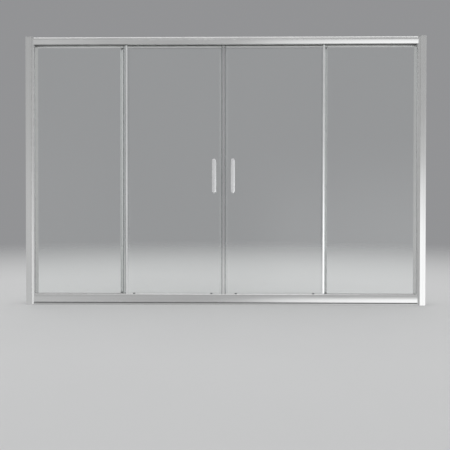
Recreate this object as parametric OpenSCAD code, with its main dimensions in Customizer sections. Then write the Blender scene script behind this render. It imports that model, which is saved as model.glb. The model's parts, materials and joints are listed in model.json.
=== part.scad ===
/* [Overall size] */
// Width between the two walls
screen_w = 1700; // [1600:10:1800]
// Height from the rim to the top of the rails
screen_h = 1140; // [1000:10:1500]

/* [Profiles] */
// Depth of the rails and side profiles, front to back
rail_d = 52; // [52:1:60]
// Wall thickness of the rails and side profiles
wall_t = 1.8; // [1.5:0.1:2]
// Wall thickness of the wall profiles
leg_t = 1.6; // [1.2:0.1:2]
// Visible face width of a wall profile
post_w = 24; // [23:1:30]
// Width of side profile that shows beside the wall profile
jamb_show = 8; // [7:1:12]
// How far a side profile's face leans back towards the glass
jamb_lean = 2.5; // [1:0.5:3]
// Length of side profile held inside the wall profile
jamb_hold = 20; // [14:1:20]
// Depth of the glass channel in a side profile
jamb_channel_d = 14; // [12:1:16]
// Slack between a wall profile and its side profile
profile_slack = 0.4; // [0.3:0.1:0.6]
// Height of the top rail's front face
top_face_h = 30; // [29:1:36]
// Height of the upper facet on the top rail
top_facet_h = 13; // [8:1:16]
// How far the top rail's upper facet leans back
top_lean = 3.2; // [2:0.1:4]
// How far the top rail's lower facet leans back, down to its edge
top_under = 3; // [1:0.1:3.5]
// Height of the bottom rail's front face
sill_h = 45; // [42:1:50]
// Height of the bottom rail's knee, where its facet begins
sill_knee = 26; // [20:1:30]
// How far the bottom rail's facet leans back
sill_lean = 3.6; // [2:0.1:4]
// Height of the bottom rail's back wall
sill_back_h = 24; // [18:1:26]
// Height of the lip under the shadow groove
groove_z = 7; // [6:0.5:10]
// Height of the shadow groove
groove_h = 4; // [3:0.5:5]
// Depth of the shadow groove
groove_d = 3; // [1.5:0.5:3]
// Small bevel along the top edge of both rails
rail_edge = 1.2; // [0.8:0.1:1.6]
// Thickness of the channel lips that press on the gasket
lip_t = 2; // [1.5:0.5:2.5]
// Bottom rail's middle wall, below the top of its front
sill_mid_drop = 3; // [2:0.5:6]

/* [Glass and seals] */
// Thickness of all four glass panels
glass_t = 5; // [4:0.5:6]
// From the rail's front face to the middle of the fixed glass
fixed_setback = 11; // [10.5:0.5:12]
// Pitch between the fixed and the sliding glass
pane_pitch = 22; // [20:1:24]
// Height of the fixed glass's lower edge
fixed_low = 27; // [26:1:32]
// Fixed glass's upper edge, below the top of the rail
fixed_drop = 8; // [7:1:12]
// Gasket thickness on the room side of the glass
gasket_t = 2.7; // [2:0.1:3]
// Gasket thickness on the bath side of the glass
gasket_back_t = 2.5; // [2:0.1:3]
// Gasket thickness behind the glass's edge
gasket_base = 2; // [1.5:0.5:3]
// Height of gasket that shows beside the profiles
gasket_show = 1.8; // [1:0.1:2.5]
// Wall thickness of the clear seals
seal_t = 1; // [0.8:0.1:1.2]
// Depth of glass that a clear seal grips
seal_grip = 10; // [8:1:14]
// Width of the seal beyond the fixed glass's free edge
fixed_fin_w = 8; // [5:1:9]
// Width of the seal beyond a door's outer glass edge
door_fin_w = 10; // [7:1:12]
// Gap between the lips of the two seals as they pass
seal_lip_gap = 1; // [0.6:0.1:2]
// Clearance above and below the clear seals
seal_end_gap = 3; // [2:0.5:6]

/* [Sliding doors] */
// Width of a sliding door with its seals
door_w = 444; // [430:1:470]
// Overlap of a centred door and its fixed panel
overlap = 27; // [20:1:40]
// Where the doors meet, right of the middle
meet_x = -6; // [-14:1:14]
// Gap between the two magnetic seals
meet_gap = 0.3; // [0.2:0.1:1]
// Height of the door glass's lower edge
door_low = 22; // [21:0.5:24]
// Door glass's upper edge, below the top web
door_top_gap = 1.2; // [1:0.1:3]
// Width of a magnetic seal beyond the glass
magnet_seal_w = 8; // [8:0.5:12]
// Depth of a magnetic seal, front to back
magnet_seal_d = 10; // [9:0.5:12]
// Nose in front of the magnet strip
magnet_nose = 2; // [1:0.5:3]

/* [Rollers] */
// Radius of a wheel over its flanges
wheel_r = 9.6; // [8.5:0.1:10]
// Width of a wheel
wheel_w = 6; // [5:0.5:7]
// Depth of a wheel's groove
wheel_groove_d = 1.3; // [1:0.1:1.5]
// Gap between the door glass and a wheel
wheel_gap = 2; // [1.5:0.5:3]
// Gap beside a wheel, to its spacer and to its axle's head
wheel_side_gap = 0.3; // [0.2:0.1:0.5]
// Radius of the rib that the wheels run on
track_rib_r = 1.5; // [1.2:0.1:1.8]
// Running gap between a rib and a wheel
track_gap = 0.15; // [0.1:0.05:0.3]
// How much wider than the rib a wheel's groove is
groove_slack = 0.2; // [0.1:0.05:0.3]
// Wheel track's upper face, below the top of the rail
track_drop = 26; // [25:0.5:30]
// Thickness of the wheel track
track_t = 2; // [1.5:0.5:2.5]
// Width of the wheel track in front of the wheels
track_lip = 0.8; // [0.6:0.1:1]
// From a glass edge to the roller's axis
roller_inset = 60; // [40:5:90]
// Radius of the axle screws
axle_r = 2.45; // [2:0.05:3]
// Running clearance in the ball bearing
axle_gap = 0.05; // [0.02:0.01:0.1]
// Radius of an axle screw's head
axle_head_r = 4.25; // [3.5:0.05:5]
// Height of an axle screw's head
axle_head_h = 1.8; // [1.5:0.1:2.5]
// Outer radius of the ball bearing
bearing_r = 5.5; // [5:0.1:6.5]
// Width of the ball bearing
bearing_w = 5; // [4:0.5:5]
// Radius of the eccentric bush in the glass
bush_r = 5.9; // [5:0.1:7]
// Clearance of the bush in the glass
bush_gap = 0.1; // [0.05:0.05:0.3]
// Radius of the bush's flange and of the spacer
bush_flange_r = 8; // [7:0.5:9]
// Thickness of the bush's flange
bush_flange_t = 4; // [3:0.5:5]
// Offset of the axle in the eccentric bush
bush_offset = 1; // [0:0.1:1.5]
// Length of the rubber bumper that an open door stops against
bumper_l = 20.5; // [8:0.5:40]
// How far a bumper reaches past the glass, front and back
bumper_over = 2; // [1:0.5:3]

/* [Lower guides] */
// From a glass edge to the middle of a guide
guide_inset = 45; // [25:5:90]
// Width of a guide housing
guide_w = 28; // [24:1:36]
// Height of a guide housing
guide_h = 22; // [20:1:24]
// Height of the guide housing's underside
guide_z = 18; // [17.5:0.5:20]
// Wall behind the tongue of a guide
guide_wall = 2.6; // [2:0.1:3]
// Wall above the spring of a guide
guide_roof = 3; // [2:0.5:4]
// Width of the guide's tongue
tongue_w = 12; // [9:1:12]
// Thickness of the guide's tongue
tongue_t = 6; // [4:0.5:6]
// Height of the tongue's lower end
tongue_z = 10.5; // [10:0.5:12]
// Length of the tongue
tongue_h = 15.5; // [14:0.5:16]
// Lift that releases a door from the bottom rail
release_lift = 6; // [5.5:0.5:6]
// Sliding clearance of the tongue
tongue_gap = 0.3; // [0.2:0.05:0.5]
// Slot left above the tongue when it is lifted
tongue_spare = 0.6; // [0.3:0.1:1]
// Height of the two ribs that guide the tongues
guide_rib_h = 16; // [14:0.5:16]
// Thickness of these ribs
guide_rib_t = 1.5; // [1:0.1:2]
// Radius of the release knob
knob_r = 5; // [4:0.5:6]
// Height of the release knob
knob_h = 4; // [3:0.5:6]
// Gap under the release knob
knob_gap = 0.2; // [0.1:0.1:0.5]
// Radius of the slider's stem
stem_r = 1.8; // [1.5:0.1:2]
// Sliding clearance of the stem
stem_gap = 0.1; // [0.05:0.05:0.2]
// Outer radius of the return spring
spring_r = 3.1; // [2.8:0.1:3.2]
// Clearance round the return spring
spring_gap = 0.2; // [0.1:0.05:0.3]
// Radius of the spring's wire
wire_r = 0.4; // [0.3:0.05:0.5]
// Turns in the return spring
spring_turns = 5; // [3:1:6]

/* [Handles] */
// From the meeting line to the middle of a handle
handle_u = 40; // [30:1:60]
// Height of a handle's middle
handle_z = 550; // [400:10:700]
// Length of a handle
handle_l = 144; // [120:2:200]
// Width of a handle seen from the front
handle_w = 18; // [14:1:24]
// Thickness of a handle's bar
handle_t = 9; // [8:1:12]
// Edge radius of a handle's bar
handle_edge = 3; // [1:0.5:3.5]
// From the glass to the far face of a handle
handle_reach = 35; // [30:1:45]
// Spacing of a handle's two posts
handle_pitch = 96; // [64:1:100]
// Radius of a handle's posts
handle_post_r = 6; // [5:0.5:7]
// Radius of the holes in the glass for the handles
handle_hole_r = 5; // [4:0.5:6]
// Thickness of the washers between handle and glass
washer_t = 1; // [0.5:0.1:2]
// Radius of these washers
washer_r = 7.5; // [7:0.5:9]
// How far a washer's neck reaches into the glass
washer_neck = 2; // [1:0.5:2]
// Clearance of a washer's neck in the glass and round its stud
washer_gap = 0.15; // [0.1:0.05:0.3]
// Radius of the studs that join two handles
stud_r = 2.45; // [2:0.05:3]
// Length of stud in each handle post
stud_in = 14; // [8:1:20]

/* [Fasteners and caps] */
// Radius of the holes for the wall screws
wall_hole_r = 2.75; // [2:0.05:3.5]
// Pitch of the wall holes
wall_hole_pitch = 450; // [300:10:460]
// Pitch of the clamp screws in the side profiles
clamp_pitch = 420; // [300:10:460]
// Radius of the assembly screws
screw_r = 1.9; // [1.6:0.1:2.1]
// Length of screw in a screw port
screw_in = 26; // [15:1:40]
// Length of a guide screw past the door glass
guide_screw_in = 7.5; // [5:0.5:9]
// Length of a clamp screw past the side profile's wall
clamp_in = 8; // [4:1:12]
// Clearance of a screw in the hole that it passes through
screw_gap = 0.3; // [0.2:0.1:0.5]
// Clearance of a screw in the hole that it bites into
thread_gap = 0.05; // [0.02:0.01:0.1]
// Radius of a screw head
head_r = 2.9; // [2.6:0.1:2.9]
// Height of a screw head
head_h = 2.2; // [1.5:0.1:2.6]
// Outer radius of a screw port
port_r = 3.3; // [3:0.1:3.4]
// Height of the cap on a post
cap_h = 2; // [2:0.5:5]
// Depth of the cap's plug inside the side profile
cap_plug_h = 10; // [6:1:15]
// Outer radius of a screw cover
cover_r = 6; // [5:0.5:8]
// Height of a screw cover
cover_h = 3.5; // [3.2:0.1:5]
// Clearance between a cover and the screw head in it
cover_gap = 0.2; // [0.1:0.1:0.3]

/* [Hidden] */
$fn = 48;
FRAME_NODES = [
    "wall_profile_left", "wall_profile_right", "side_profile_left", "side_profile_right",
    "top_rail", "bottom_rail", "fixed_glass_left", "fixed_glass_right",
    "glass_gasket_left", "glass_gasket_right", "fixed_edge_seal_left", "fixed_edge_seal_right",
    "post_caps", "corner_screws", "clamp_screws", "screw_covers", "door_bumpers"
];
DOOR_NODES = [
    "door_glass_left", "door_glass_right", "door_edge_seal_left", "door_edge_seal_right",
    "magnet_seal_left", "magnet_seal_right", "magnet_strip_left", "magnet_strip_right",
    "outer_handle_left", "outer_handle_right", "inner_handle_left", "inner_handle_right",
    "handle_studs_left", "handle_studs_right", "handle_washers_left", "handle_washers_right",
    "roller_bushes_left", "roller_bushes_right", "roller_spacers_left", "roller_spacers_right",
    "axle_screws_left", "axle_screws_right", "guide_housings_left", "guide_housings_right",
    "guide_screws_left", "guide_screws_right"
];
MOVING_NODES = [
    "wheel_left_outer", "wheel_left_inner", "wheel_right_inner", "wheel_right_outer",
    "bearing_left_outer", "bearing_left_inner", "bearing_right_inner", "bearing_right_outer",
    "guide_slider_left_outer", "guide_slider_left_inner",
    "guide_slider_right_inner", "guide_slider_right_outer",
    "guide_spring_left_outer", "guide_spring_left_inner",
    "guide_spring_right_inner", "guide_spring_right_outer"
];

left = -1;
right = 1;
// How far a cutter runs past what it cuts, and a boss into what carries it
over = 1;

// Planes across the depth: the room is at negative y, the bath at positive y
rail_front = -28;
rail_back = rail_front + rail_d;
half_glass = glass_t / 2;
fixed_y = rail_front + fixed_setback;
door_y = fixed_y + pane_pitch;
door_face = door_y - half_glass;
door_back = door_y + half_glass;
channel_front = fixed_y - half_glass - gasket_t;
channel_back = fixed_y + half_glass + gasket_back_t;
mid_back = channel_back + wall_t;
post_front = rail_front - profile_slack - leg_t;
post_back = rail_back + profile_slack + leg_t;
wheel_y = door_back + wheel_gap + wheel_w / 2;

// Places across the width, right of the middle
half_w = screen_w / 2;
post_in = half_w - post_w;
jamb_in = post_in - jamb_show;
jamb_out = post_in + jamb_hold;
channel_floor = jamb_in + jamb_channel_d;
clamp_x = (post_in + jamb_out) / 2;
fixed_out = channel_floor - gasket_base;
fixed_in = door_w - overlap + fixed_fin_w;
fixed_edge = fixed_in - fixed_fin_w;

// Places across a door, measured outward from the meeting line
door_in = magnet_seal_w;
door_out = door_w - door_fin_w;
roller_us = [door_in + roller_inset, door_out - roller_inset];
guide_us = [door_in + guide_inset, door_out - guide_inset];
guide_screw_u = (tongue_w / 2 + tongue_gap + guide_w / 2) / 2;

// Heights
rail_low = screen_h - top_face_h;
fixed_top = screen_h - fixed_drop;
door_top = screen_h - wall_t - door_top_gap;
track_z = screen_h - track_drop;
groove_r = track_rib_r + groove_slack;
wheel_z = track_z + track_rib_r + track_gap + wheel_r - wheel_groove_d;
seal_low = sill_h + seal_end_gap;
seal_top = rail_low - seal_end_gap;
door_seal_low = door_low;
guide_screw_z = (door_low + guide_z + guide_h) / 2;
spring_low = tongue_z + tongue_h;
spring_top = guide_z + guide_h - guide_roof;
post_zs = [-1, 0, 1];

// Screw ports, as [y, z] in the rails
port_bore = screw_r + thread_gap;
port_sink = 0.3;
port_front = mid_back + port_r - port_sink;
port_back = rail_back - wall_t - port_r + port_sink;
top_port_z = screen_h - wall_t - port_r + port_sink;
sill_port_z = wall_t + port_r - port_sink;
ports = [
    [port_front, top_port_z], [port_back, top_port_z],
    [port_front, sill_port_z], [port_back, sill_port_z]
];

// Extrusions of a section along one axis, and rods along one axis
module along_x(x0, x1) {
    translate([x0, 0, 0]) rotate([90, 0, 90]) linear_extrude(x1 - x0) children();
}

module along_y(y0, y1) {
    translate([0, y1, 0]) rotate([90, 0, 0]) linear_extrude(y1 - y0) children();
}

module along_z(z0, z1) {
    translate([0, 0, z0]) linear_extrude(z1 - z0) children();
}

module rod_x(r, x0, x1, y, z) {
    translate([x0, y, z]) rotate([0, 90, 0]) cylinder(r = r, h = x1 - x0);
}

module rod_y(r, y0, y1, x, z) {
    translate([x, y0, z]) rotate([-90, 0, 0]) cylinder(r = r, h = y1 - y0);
}

module rod_z(r, z0, z1, x, y) {
    translate([x, y, z0]) cylinder(r = r, h = z1 - z0);
}

module block(x0, y0, z0, x1, y1, z1) {
    translate([x0, y0, z0]) cube([x1 - x0, y1 - y0, z1 - z0]);
}

module strip(a0, b0, a1, b1) {
    translate([a0, b0]) square([a1 - a0, b1 - b0]);
}

// Everything on a side is drawn at the right and mirrored for the left
module at_side(side) {
    if (side == right) children();
    else mirror([1, 0, 0]) children();
}

module at_door(side) {
    translate([meet_x, 0, 0]) at_side(side) children();
}

// Frame at the walls
module wall_profile(side) {
    color([0.76, 0.76, 0.76]) at_side(side) difference() {
        along_z(0, screen_h) {
            strip(half_w - leg_t, post_front, half_w, post_back);
            strip(post_in, post_front, half_w, post_front + leg_t);
            strip(post_in, post_back - leg_t, half_w, post_back);
        }
        for (k = post_zs)
            rod_x(wall_hole_r, half_w - 2 * leg_t, half_w + leg_t,
                  (post_front + post_back) / 2, screen_h / 2 + k * wall_hole_pitch);
        for (k = post_zs)
            rod_y(screw_r + screw_gap, post_back - 2 * leg_t, post_back + leg_t,
                  clamp_x, screen_h / 2 + k * clamp_pitch);
    }
}

// A side profile's front leans back beside the wall profile and ends in a lip on the gasket
module side_profile_walls() {
    polygon([
        [jamb_out, rail_front],
        [post_in, rail_front],
        [jamb_in, rail_front + jamb_lean],
        [jamb_in, channel_front],
        [jamb_in + lip_t, channel_front],
        [jamb_in + lip_t, rail_front + jamb_lean + wall_t],
        [post_in, rail_front + wall_t],
        [channel_floor, rail_front + wall_t],
        [channel_floor, channel_back],
        [jamb_in, channel_back],
        [jamb_in, rail_back],
        [jamb_out, rail_back],
        [jamb_out, rail_back - wall_t],
        [jamb_in + wall_t, rail_back - wall_t],
        [jamb_in + wall_t, mid_back],
        [channel_floor + wall_t, mid_back],
        [channel_floor + wall_t, rail_front + wall_t],
        [jamb_out, rail_front + wall_t]
    ]);
}

module side_profile(side) {
    color([0.78, 0.78, 0.78]) at_side(side) difference() {
        along_z(0, screen_h) side_profile_walls();
        for (p = ports)
            rod_x(screw_r + screw_gap, jamb_in - wall_t, jamb_in + 2 * wall_t, p[0], p[1]);
        for (k = post_zs)
            rod_y(port_bore, rail_back - 2 * wall_t, rail_back + wall_t,
                  clamp_x, screen_h / 2 + k * clamp_pitch);
    }
}

module post_caps() {
    color([0.72, 0.72, 0.72]) for (side = [left, right]) at_side(side) {
        block(jamb_in, post_front, screen_h, half_w, post_back, screen_h + cap_h);
        block(channel_floor + wall_t + profile_slack, mid_back + profile_slack, screen_h - cap_plug_h,
              jamb_out, rail_back - wall_t - profile_slack, screen_h + cap_h / 2);
    }
}

// Rails
module port_rods(first, r, spare) {
    for (k = [first, first + 1])
        rod_x(r, -jamb_in - spare, jamb_in + spare, ports[k][0], ports[k][1]);
}

module top_rail_walls() {
    knee_z = screen_h - top_facet_h;
    web_z = screen_h - wall_t;
    ledge_y = wheel_y - wheel_w / 2 - track_lip;
    polygon([
        [channel_front, rail_low],
        [rail_front + top_under, rail_low],
        [rail_front, knee_z],
        [rail_front + top_lean, screen_h - rail_edge],
        [rail_front + top_lean + rail_edge, screen_h],
        [rail_back, screen_h],
        [rail_back, track_z - track_t],
        [ledge_y, track_z - track_t],
        [ledge_y, track_z],
        [rail_back - wall_t, track_z],
        [rail_back - wall_t, web_z],
        [mid_back, web_z],
        [mid_back, rail_low + lip_t],
        [channel_back, rail_low + lip_t],
        [channel_back, web_z],
        [rail_front + top_lean + wall_t, web_z],
        [rail_front + wall_t, knee_z],
        [rail_front + top_under + wall_t, rail_low + lip_t],
        [channel_front, rail_low + lip_t]
    ]);
}

module top_rail() {
    color([0.78, 0.78, 0.78]) difference() {
        union() {
            along_x(-jamb_in, jamb_in) top_rail_walls();
            rod_x(track_rib_r, -jamb_in, jamb_in, wheel_y, track_z);
            port_rods(0, port_r, 0);
        }
        port_rods(0, port_bore, over);
    }
}

// The bottom rail's front face at height z, above the knee
function sill_face_y(z) =
    rail_front + sill_lean * max(0, z - sill_knee) / (sill_h - rail_edge - sill_knee);

module bottom_rail_walls() {
    groove_top = groove_z + groove_h;
    shelf = fixed_low - gasket_base;
    rib_front = wheel_y - tongue_t / 2 - tongue_gap;
    rib_back = wheel_y + tongue_t / 2 + tongue_gap;
    polygon([
        [rail_front, 0],
        [rail_front, groove_z],
        [rail_front + groove_d, groove_z],
        [rail_front + groove_d, groove_top],
        [rail_front, groove_top],
        [rail_front, sill_knee],
        [rail_front + sill_lean, sill_h - rail_edge],
        [rail_front + sill_lean + rail_edge, sill_h],
        [channel_front, sill_h],
        [channel_front, sill_h - lip_t],
        [sill_face_y(sill_h - lip_t) + wall_t, sill_h - lip_t],
        [sill_face_y(shelf) + wall_t, shelf],
        [channel_back, shelf],
        [channel_back, sill_h - sill_mid_drop],
        [mid_back, sill_h - sill_mid_drop],
        [mid_back, wall_t],
        [rib_front - guide_rib_t, wall_t],
        [rib_front - guide_rib_t, guide_rib_h],
        [rib_front, guide_rib_h],
        [rib_front, wall_t],
        [rib_back, wall_t],
        [rib_back, guide_rib_h],
        [rib_back + guide_rib_t, guide_rib_h],
        [rib_back + guide_rib_t, wall_t],
        [rail_back - wall_t, wall_t],
        [rail_back - wall_t, sill_back_h],
        [rail_back, sill_back_h],
        [rail_back, 0]
    ]);
}

// Closed chamber under the fixed glass
module bottom_rail_chamber() {
    groove_low = groove_z - wall_t;
    groove_top = groove_z + groove_h + wall_t;
    roof = fixed_low - gasket_base - wall_t;
    polygon([
        [rail_front + wall_t, wall_t],
        [rail_front + wall_t, groove_low],
        [rail_front + groove_d + wall_t, groove_low],
        [rail_front + groove_d + wall_t, groove_top],
        [rail_front + wall_t, groove_top],
        [sill_face_y(roof) + wall_t, roof],
        [channel_back, roof],
        [channel_back, wall_t]
    ]);
}

module bottom_rail() {
    color([0.78, 0.78, 0.78]) difference() {
        union() {
            along_x(-jamb_in, jamb_in) difference() {
                bottom_rail_walls();
                bottom_rail_chamber();
            }
            port_rods(2, port_r, 0);
        }
        port_rods(2, port_bore, over);
    }
}

module door_bumpers() {
    color([0.2, 0.2, 0.2]) for (side = [left, right]) at_side(side)
        block(jamb_in - bumper_l, door_face - bumper_over, track_z + track_t,
              jamb_in, door_back + bumper_over, screen_h - wall_t);
}

// Fixed glass
module fixed_glass(side) {
    color([0.8, 0.9, 0.88, 0.35]) at_side(side)
        block(fixed_in, fixed_y - half_glass, fixed_low, fixed_out, fixed_y + half_glass, fixed_top);
}

module glass_gasket(side) {
    color([0.25, 0.25, 0.25]) at_side(side) difference() {
        block(fixed_in, channel_front, fixed_low - gasket_base,
              channel_floor, channel_back, fixed_top + gasket_base);
        block(fixed_in - seal_t, channel_front - seal_t, sill_h + gasket_show,
              jamb_in - gasket_show, channel_back + seal_t, rail_low - gasket_show);
        block(fixed_in - seal_t, fixed_y - half_glass, fixed_low,
              fixed_out, fixed_y + half_glass, fixed_top);
    }
}

// Two legs that grip a glass edge at u, with the glass on the side of dir
module seal_grip_section(u, y, dir) {
    far = u + dir * seal_grip;
    for (face = [y - half_glass - seal_t, y + half_glass])
        strip(min(u, far), face, max(u, far), face + seal_t);
    near = u - dir * seal_t;
    strip(min(u, near), y - half_glass - seal_t, max(u, near), y + half_glass + seal_t);
}

module fixed_edge_seal(side) {
    lip_end = (fixed_y + door_y) / 2 - seal_lip_gap / 2;
    front = fixed_y - half_glass - seal_t;
    color([0.85, 0.87, 0.87, 0.6]) at_side(side) along_z(seal_low, seal_top) {
        seal_grip_section(fixed_in, fixed_y, 1);
        strip(fixed_edge, front, fixed_in, front + seal_t);
        strip(fixed_edge, front, fixed_edge + seal_t, lip_end);
    }
}

// Door glass and its seals, drawn outward from the meeting line
module door_glass(side) {
    color([0.8, 0.9, 0.88, 0.35]) at_door(side) difference() {
        block(door_in, door_face, door_low, door_out, door_back, door_top);
        for (u = roller_us)
            rod_y(bush_r + bush_gap, door_face - over, door_back + over, u, wheel_z - bush_offset);
        for (k = [-0.5, 0.5])
            rod_y(handle_hole_r, door_face - over, door_back + over,
                  handle_u, handle_z + k * handle_pitch);
        for (u = guide_us, k = [left, right])
            rod_y(screw_r + screw_gap, door_face - over, door_back + over,
                  u + k * guide_screw_u, guide_screw_z);
    }
}

module door_edge_seal(side) {
    lip_end = (fixed_y + door_y) / 2 + seal_lip_gap / 2;
    color([0.85, 0.87, 0.87, 0.6]) at_door(side) along_z(door_seal_low, seal_top) {
        seal_grip_section(door_out, door_y, -1);
        strip(door_out, door_back, door_w, door_back + seal_t);
        strip(door_w - seal_t, lip_end, door_w, door_back + seal_t);
    }
}

module magnet_seal(side) {
    half_d = magnet_seal_d / 2;
    color([0.85, 0.87, 0.87, 0.6]) at_door(side) along_z(door_seal_low, seal_top) {
        seal_grip_section(door_in, door_y, 1);
        difference() {
            strip(meet_gap / 2, door_y - half_d, door_in, door_y + half_d);
            strip(magnet_nose, door_y - half_d + seal_t, door_in - seal_t, door_y + half_d - seal_t);
        }
    }
}

module magnet_strip(side) {
    half_d = magnet_seal_d / 2 - seal_t;
    color([0.3, 0.29, 0.28]) at_door(side)
        block(magnet_nose, door_y - half_d, door_seal_low, door_in - seal_t, door_y + half_d, seal_top);
}

// Handles: drawn on the room side and mirrored through the glass for the bath side
module rounded_bar(w, t, r) {
    strip(-w / 2 + r, -t / 2, w / 2 - r, t / 2);
    strip(-w / 2, -t / 2 + r, w / 2, t / 2 - r);
    for (a = [-1, 1], b = [-1, 1]) translate([a * (w / 2 - r), b * (t / 2 - r)]) circle(r = r);
}

module stadium(w, l) {
    straight = (l - w) / 2;
    strip(-w / 2, -straight, w / 2, straight);
    for (k = [-1, 1]) translate([0, k * straight]) circle(d = w);
}

module bar_handle() {
    bar_back = handle_reach - handle_t;
    difference() {
        union() {
            intersection() {
                translate([0, -half_glass - bar_back - handle_t / 2, 0])
                    along_z(-handle_l / 2, handle_l / 2) rounded_bar(handle_w, handle_t, handle_edge);
                along_y(-half_glass - handle_reach - over, 0) stadium(handle_w, handle_l);
            }
            for (k = [-0.5, 0.5])
                rod_y(handle_post_r, -half_glass - bar_back - handle_t / 2, -half_glass - washer_t,
                      0, k * handle_pitch);
        }
        for (k = [-0.5, 0.5])
            rod_y(stud_r + thread_gap, -half_glass - washer_t - stud_in - over, -half_glass,
                  0, k * handle_pitch);
    }
}

module at_handle(side) {
    at_door(side) translate([handle_u, door_y, handle_z]) children();
}

module outer_handle(side) {
    color([0.82, 0.82, 0.83]) at_handle(side) bar_handle();
}

module inner_handle(side) {
    color([0.82, 0.82, 0.83]) at_handle(side) mirror([0, 1, 0]) bar_handle();
}

module handle_studs(side) {
    reach = half_glass + washer_t + stud_in;
    color([0.6, 0.6, 0.62]) at_handle(side)
        for (k = [-0.5, 0.5]) rod_y(stud_r, -reach, reach, 0, k * handle_pitch);
}

module handle_washers(side) {
    color([0.85, 0.86, 0.86]) at_handle(side)
        for (k = [-0.5, 0.5], face = [0, 1]) mirror([0, face, 0]) difference() {
            union() {
                rod_y(washer_r, -half_glass - washer_t, -half_glass, 0, k * handle_pitch);
                rod_y(handle_hole_r - washer_gap, -half_glass, -half_glass + washer_neck,
                      0, k * handle_pitch);
            }
            rod_y(stud_r + washer_gap, -half_glass - 2 * washer_t, over, 0, k * handle_pitch);
        }
}

// Rollers
module roller_bushes(side) {
    bush_z = wheel_z - bush_offset;
    socket_h = bush_flange_t / 3;
    color([0.7, 0.7, 0.72]) at_door(side) for (u = roller_us) difference() {
        union() {
            rod_y(bush_flange_r, door_face - bush_flange_t, door_face, u, bush_z);
            rod_y(bush_r, door_face - over, door_back, u, bush_z);
        }
        rod_y(axle_r + thread_gap, door_face - bush_flange_t / 2, door_back + over, u, wheel_z);
        rod_y(bush_flange_r / 2, door_face - bush_flange_t - over, door_face - bush_flange_t + socket_h,
              u, bush_z, $fn = 6);
    }
}

module roller_spacers(side) {
    color([0.9, 0.9, 0.9]) at_door(side) for (u = roller_us) difference() {
        rod_y(bush_flange_r, door_back, door_back + wheel_gap - wheel_side_gap, u, wheel_z - bush_offset);
        rod_y(axle_r + screw_gap, door_back - over, door_back + wheel_gap + over, u, wheel_z);
    }
}

module axle_screws(side) {
    head_y = wheel_y + wheel_w / 2 + wheel_side_gap;
    color([0.65, 0.65, 0.67]) at_door(side) for (u = roller_us) difference() {
        union() {
            rod_y(axle_r, door_face - bush_flange_t / 2 + screw_gap, head_y + over, u, wheel_z);
            rod_y(axle_head_r, head_y, head_y + axle_head_h, u, wheel_z);
        }
        rod_y(axle_head_r / 2, head_y + axle_head_h / 2, head_y + 2 * axle_head_h, u, wheel_z, $fn = 6);
    }
}

// A piece turned about the roller's axis: x in the section is the radius, y runs along the axle
module at_roller(side, k) {
    at_door(side) translate([roller_us[k], wheel_y, wheel_z]) rotate([-90, 0, 0]) children();
}

module wheel(side, k) {
    groove_c = wheel_r - wheel_groove_d + groove_r;
    color([0.93, 0.93, 0.9]) at_roller(side, k) rotate_extrude() difference() {
        strip(bearing_r + thread_gap, -wheel_w / 2, wheel_r, wheel_w / 2);
        translate([groove_c, 0]) circle(r = groove_r);
    }
}

module bearing(side, k) {
    dust_groove_r = (bearing_r - axle_r) / 4;
    color([0.55, 0.56, 0.58]) at_roller(side, k) rotate_extrude() difference() {
        strip(axle_r + axle_gap, -bearing_w / 2, bearing_r, bearing_w / 2);
        for (face = [-1, 1])
            translate([(axle_r + bearing_r) / 2, face * bearing_w / 2]) circle(r = dust_groove_r);
    }
}

// Lower guides
module guide_housings(side) {
    low = guide_z;
    high = guide_z + guide_h;
    slot_t = tongue_t / 2 + tongue_gap;
    slot_w = tongue_w / 2 + tongue_gap;
    heel_h = door_low - guide_z;
    color([0.88, 0.88, 0.86]) at_door(side) for (u = guide_us) difference() {
        union() {
            block(u - guide_w / 2, door_back, low, u + guide_w / 2, wheel_y + slot_t + guide_wall, high);
            block(u - guide_w / 2, door_face, low, u + guide_w / 2, door_back + over, low + heel_h);
        }
        block(u - slot_w, wheel_y - slot_t, low - over,
              u + slot_w, wheel_y + slot_t, spring_low + release_lift + tongue_spare);
        rod_z(spring_r + spring_gap, low, spring_top, u, wheel_y);
        rod_z(stem_r + stem_gap, low, high + over, u, wheel_y);
        for (k = [left, right])
            rod_y(port_bore, door_face, door_back + guide_screw_in + screw_gap,
                  u + k * guide_screw_u, guide_screw_z);
    }
}

module guide_screws(side) {
    color([0.6, 0.6, 0.62]) at_door(side) for (u = guide_us, k = [left, right]) {
        rod_y(screw_r, door_face - over, door_back + guide_screw_in, u + k * guide_screw_u, guide_screw_z);
        rod_y(head_r, door_face - head_h, door_face, u + k * guide_screw_u, guide_screw_z);
    }
}

module guide_slider(side, k) {
    bevel = tongue_t / 3;
    grip_groove_r = knob_h / 4;
    knob_z = guide_z + guide_h + knob_gap;
    w = tongue_w / 2;
    color([0.35, 0.36, 0.38]) at_door(side) translate([guide_us[k], wheel_y, 0]) {
        along_y(-tongue_t / 2, tongue_t / 2) polygon([
            [-w, tongue_z + bevel], [bevel - w, tongue_z], [w - bevel, tongue_z],
            [w, tongue_z + bevel], [w, spring_low], [-w, spring_low]
        ]);
        rod_z(stem_r, spring_low - over, knob_z + over, 0, 0);
        difference() {
            rod_z(knob_r, knob_z, knob_z + knob_h, 0, 0);
            translate([0, 0, knob_z + knob_h / 2]) rotate_extrude()
                translate([knob_r + grip_groove_r / 2, 0]) circle(r = grip_groove_r);
        }
    }
}

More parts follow.
